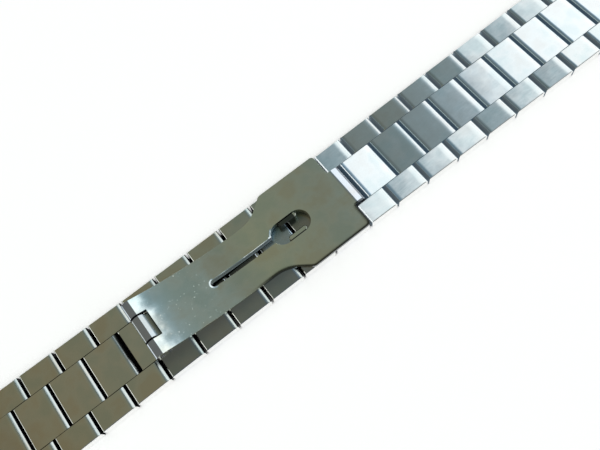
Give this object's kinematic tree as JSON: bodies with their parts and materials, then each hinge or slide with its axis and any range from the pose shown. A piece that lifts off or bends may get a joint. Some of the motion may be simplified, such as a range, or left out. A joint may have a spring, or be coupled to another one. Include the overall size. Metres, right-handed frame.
{
  "type": "watch bracelet",
  "caption": "Tapered watch bracelet of brick-laid flat links, lying straight with its folding clasp closed: curled slotted plate, blade and rigid cover, and hollowed end pieces on spring bars.",
  "frame": {"origin": "middle of the bracelet's length and width, on the plane that its show faces lie on", "axes": "+X along the straight bracelet towards the longer run of links, +Y across it, +Z from the show side to the wrist side"},
  "size_m": [0.1512, 0.0198, 0.0075],
  "materials": {
    "outer_steel": "satin, fine lengthwise grain",
    "centre_steel": "satin, slightly brighter",
    "clasp_steel": "fine matt grain",
    "pin_steel": "bright drawn"
  },
  "bodies": {
    "clasp_cover": {"cover_outer_links": "outer_steel", "cover_centre_links": "centre_steel", "cover_pins": "pin_steel", "clasp_catch": "clasp_steel"},
    "clasp_blade": {"middle_blade": "clasp_steel"},
    "clasp_plate": {"clasp_plate": "clasp_steel", "barrel_pin": "pin_steel"},
    "link_a1": {"outer_links_a1": "outer_steel", "centre_link_a1": "centre_steel", "link_pins_a1": "pin_steel"},
    "link_a2": {"outer_links_a2": "outer_steel", "centre_link_a2": "centre_steel", "link_pins_a2": "pin_steel"},
    "link_a3": {"outer_links_a3": "outer_steel", "centre_link_a3": "centre_steel", "link_pins_a3": "pin_steel"},
    "link_a4": {"outer_links_a4": "outer_steel", "centre_link_a4": "centre_steel", "link_pins_a4": "pin_steel"},
    "link_b01": {"outer_links_b01": "outer_steel", "centre_link_b01": "centre_steel", "link_pins_b01": "pin_steel"},
    "link_b02": {"outer_links_b02": "outer_steel", "centre_link_b02": "centre_steel", "link_pins_b02": "pin_steel"},
    "link_b03": {"outer_links_b03": "outer_steel", "centre_link_b03": "centre_steel", "link_pins_b03": "pin_steel"},
    "link_b04": {"outer_links_b04": "outer_steel", "centre_link_b04": "centre_steel", "link_pins_b04": "pin_steel"},
    "link_b05": {"outer_links_b05": "outer_steel", "centre_link_b05": "centre_steel", "link_pins_b05": "pin_steel"},
    "link_b06": {"outer_links_b06": "outer_steel", "centre_link_b06": "centre_steel", "link_pins_b06": "pin_steel"},
    "link_b07": {"outer_links_b07": "outer_steel", "centre_link_b07": "centre_steel", "link_pins_b07": "pin_steel"},
    "link_b08": {"outer_links_b08": "outer_steel", "centre_link_b08": "centre_steel", "link_pins_b08": "pin_steel"},
    "link_b09": {"outer_links_b09": "outer_steel", "centre_link_b09": "centre_steel", "link_pins_b09": "pin_steel"},
    "link_b10": {"outer_links_b10": "outer_steel", "centre_link_b10": "centre_steel", "link_pins_b10": "pin_steel"},
    "end_a": {"end_link_a": "outer_steel", "bar_tube_a": "pin_steel"},
    "end_b": {"end_link_b": "outer_steel", "end_pin_b": "pin_steel", "bar_tube_b": "pin_steel"},
    "tip_a_upper": {"bar_tip_a_upper": "pin_steel"},
    "tip_a_lower": {"bar_tip_a_lower": "pin_steel"},
    "tip_b_upper": {"bar_tip_b_upper": "pin_steel"},
    "tip_b_lower": {"bar_tip_b_lower": "pin_steel"}
  },
  "joints": [
    {"name": "cover_hinge", "type": "hinge", "parent": "clasp_cover", "child": "clasp_blade", "pos_m": [-0.00337, 0, 0.00178], "axis": [0, 1, 0], "range_deg": [0, 175]},
    {"name": "barrel_hinge", "type": "hinge", "parent": "clasp_blade", "child": "clasp_plate", "pos_m": [-0.04077, 0, 0.00632], "axis": [0, 1, 0], "range_deg": [-175, 0]},
    {"name": "turn_a1", "type": "hinge", "parent": "clasp_cover", "child": "link_a1", "pos_m": [-0.0405, 0, 0.0013], "axis": [0, 1, 0], "range_deg": [-15, 25]},
    {"name": "turn_a2", "type": "hinge", "parent": "link_a1", "child": "link_a2", "pos_m": [-0.04725, 0, 0.0013], "axis": [0, 1, 0], "range_deg": [-15, 25]},
    {"name": "turn_a3", "type": "hinge", "parent": "link_a2", "child": "link_a3", "pos_m": [-0.054, 0, 0.0013], "axis": [0, 1, 0], "range_deg": [-15, 25]},
    {"name": "turn_a4", "type": "hinge", "parent": "link_a3", "child": "link_a4", "pos_m": [-0.06075, 0, 0.0013], "axis": [0, 1, 0], "range_deg": [-15, 25]},
    {"name": "turn_end_a", "type": "hinge", "parent": "link_a4", "child": "end_a", "pos_m": [-0.0675, 0, 0.0013], "axis": [0, 1, 0], "range_deg": [-15, 25]},
    {"name": "turn_b01", "type": "hinge", "parent": "clasp_plate", "child": "link_b01", "pos_m": [0.00031, 0, 0.0013], "axis": [0, -1, 0], "range_deg": [-15, 25]},
    {"name": "turn_b02", "type": "hinge", "parent": "link_b01", "child": "link_b02", "pos_m": [0.00675, 0, 0.0013], "axis": [0, -1, 0], "range_deg": [-15, 25]},
    {"name": "turn_b03", "type": "hinge", "parent": "link_b02", "child": "link_b03", "pos_m": [0.0135, 0, 0.0013], "axis": [0, -1, 0], "range_deg": [-15, 25]},
    {"name": "turn_b04", "type": "hinge", "parent": "link_b03", "child": "link_b04", "pos_m": [0.02025, 0, 0.0013], "axis": [0, -1, 0], "range_deg": [-15, 25]},
    {"name": "turn_b05", "type": "hinge", "parent": "link_b04", "child": "link_b05", "pos_m": [0.027, 0, 0.0013], "axis": [0, -1, 0], "range_deg": [-15, 25]},
    {"name": "turn_b06", "type": "hinge", "parent": "link_b05", "child": "link_b06", "pos_m": [0.03375, 0, 0.0013], "axis": [0, -1, 0], "range_deg": [-15, 25]},
    {"name": "turn_b07", "type": "hinge", "parent": "link_b06", "child": "link_b07", "pos_m": [0.0405, 0, 0.0013], "axis": [0, -1, 0], "range_deg": [-15, 25]},
    {"name": "turn_b08", "type": "hinge", "parent": "link_b07", "child": "link_b08", "pos_m": [0.04725, 0, 0.0013], "axis": [0, -1, 0], "range_deg": [-15, 25]},
    {"name": "turn_b09", "type": "hinge", "parent": "link_b08", "child": "link_b09", "pos_m": [0.054, 0, 0.0013], "axis": [0, -1, 0], "range_deg": [-15, 25]},
    {"name": "turn_b10", "type": "hinge", "parent": "link_b09", "child": "link_b10", "pos_m": [0.06075, 0, 0.0013], "axis": [0, -1, 0], "range_deg": [-15, 25]},
    {"name": "turn_end_b", "type": "hinge", "parent": "link_b10", "child": "end_b", "pos_m": [0.0675, 0, 0.0013], "axis": [0, -1, 0], "range_deg": [-15, 25]},
    {"name": "press_a_upper", "type": "slide", "parent": "end_a", "child": "tip_a_upper", "axis": [0, -1, 0], "range_m": [0, 0.0009], "stiffness_N_per_m": 600, "springref_m": -0.0005},
    {"name": "press_a_lower", "type": "slide", "parent": "end_a", "child": "tip_a_lower", "axis": [0, 1, 0], "range_m": [0, 0.0009], "stiffness_N_per_m": 600, "springref_m": -0.0005},
    {"name": "press_b_upper", "type": "slide", "parent": "end_b", "child": "tip_b_upper", "axis": [0, -1, 0], "range_m": [0, 0.0009], "stiffness_N_per_m": 600, "springref_m": -0.0005},
    {"name": "press_b_lower", "type": "slide", "parent": "end_b", "child": "tip_b_lower", "axis": [0, 1, 0], "range_m": [0, 0.0009], "stiffness_N_per_m": 600, "springref_m": -0.0005}
  ],
  "couplings": [
    {"joint": "barrel_hinge", "follows": "cover_hinge", "ratio": -1}
  ]
}
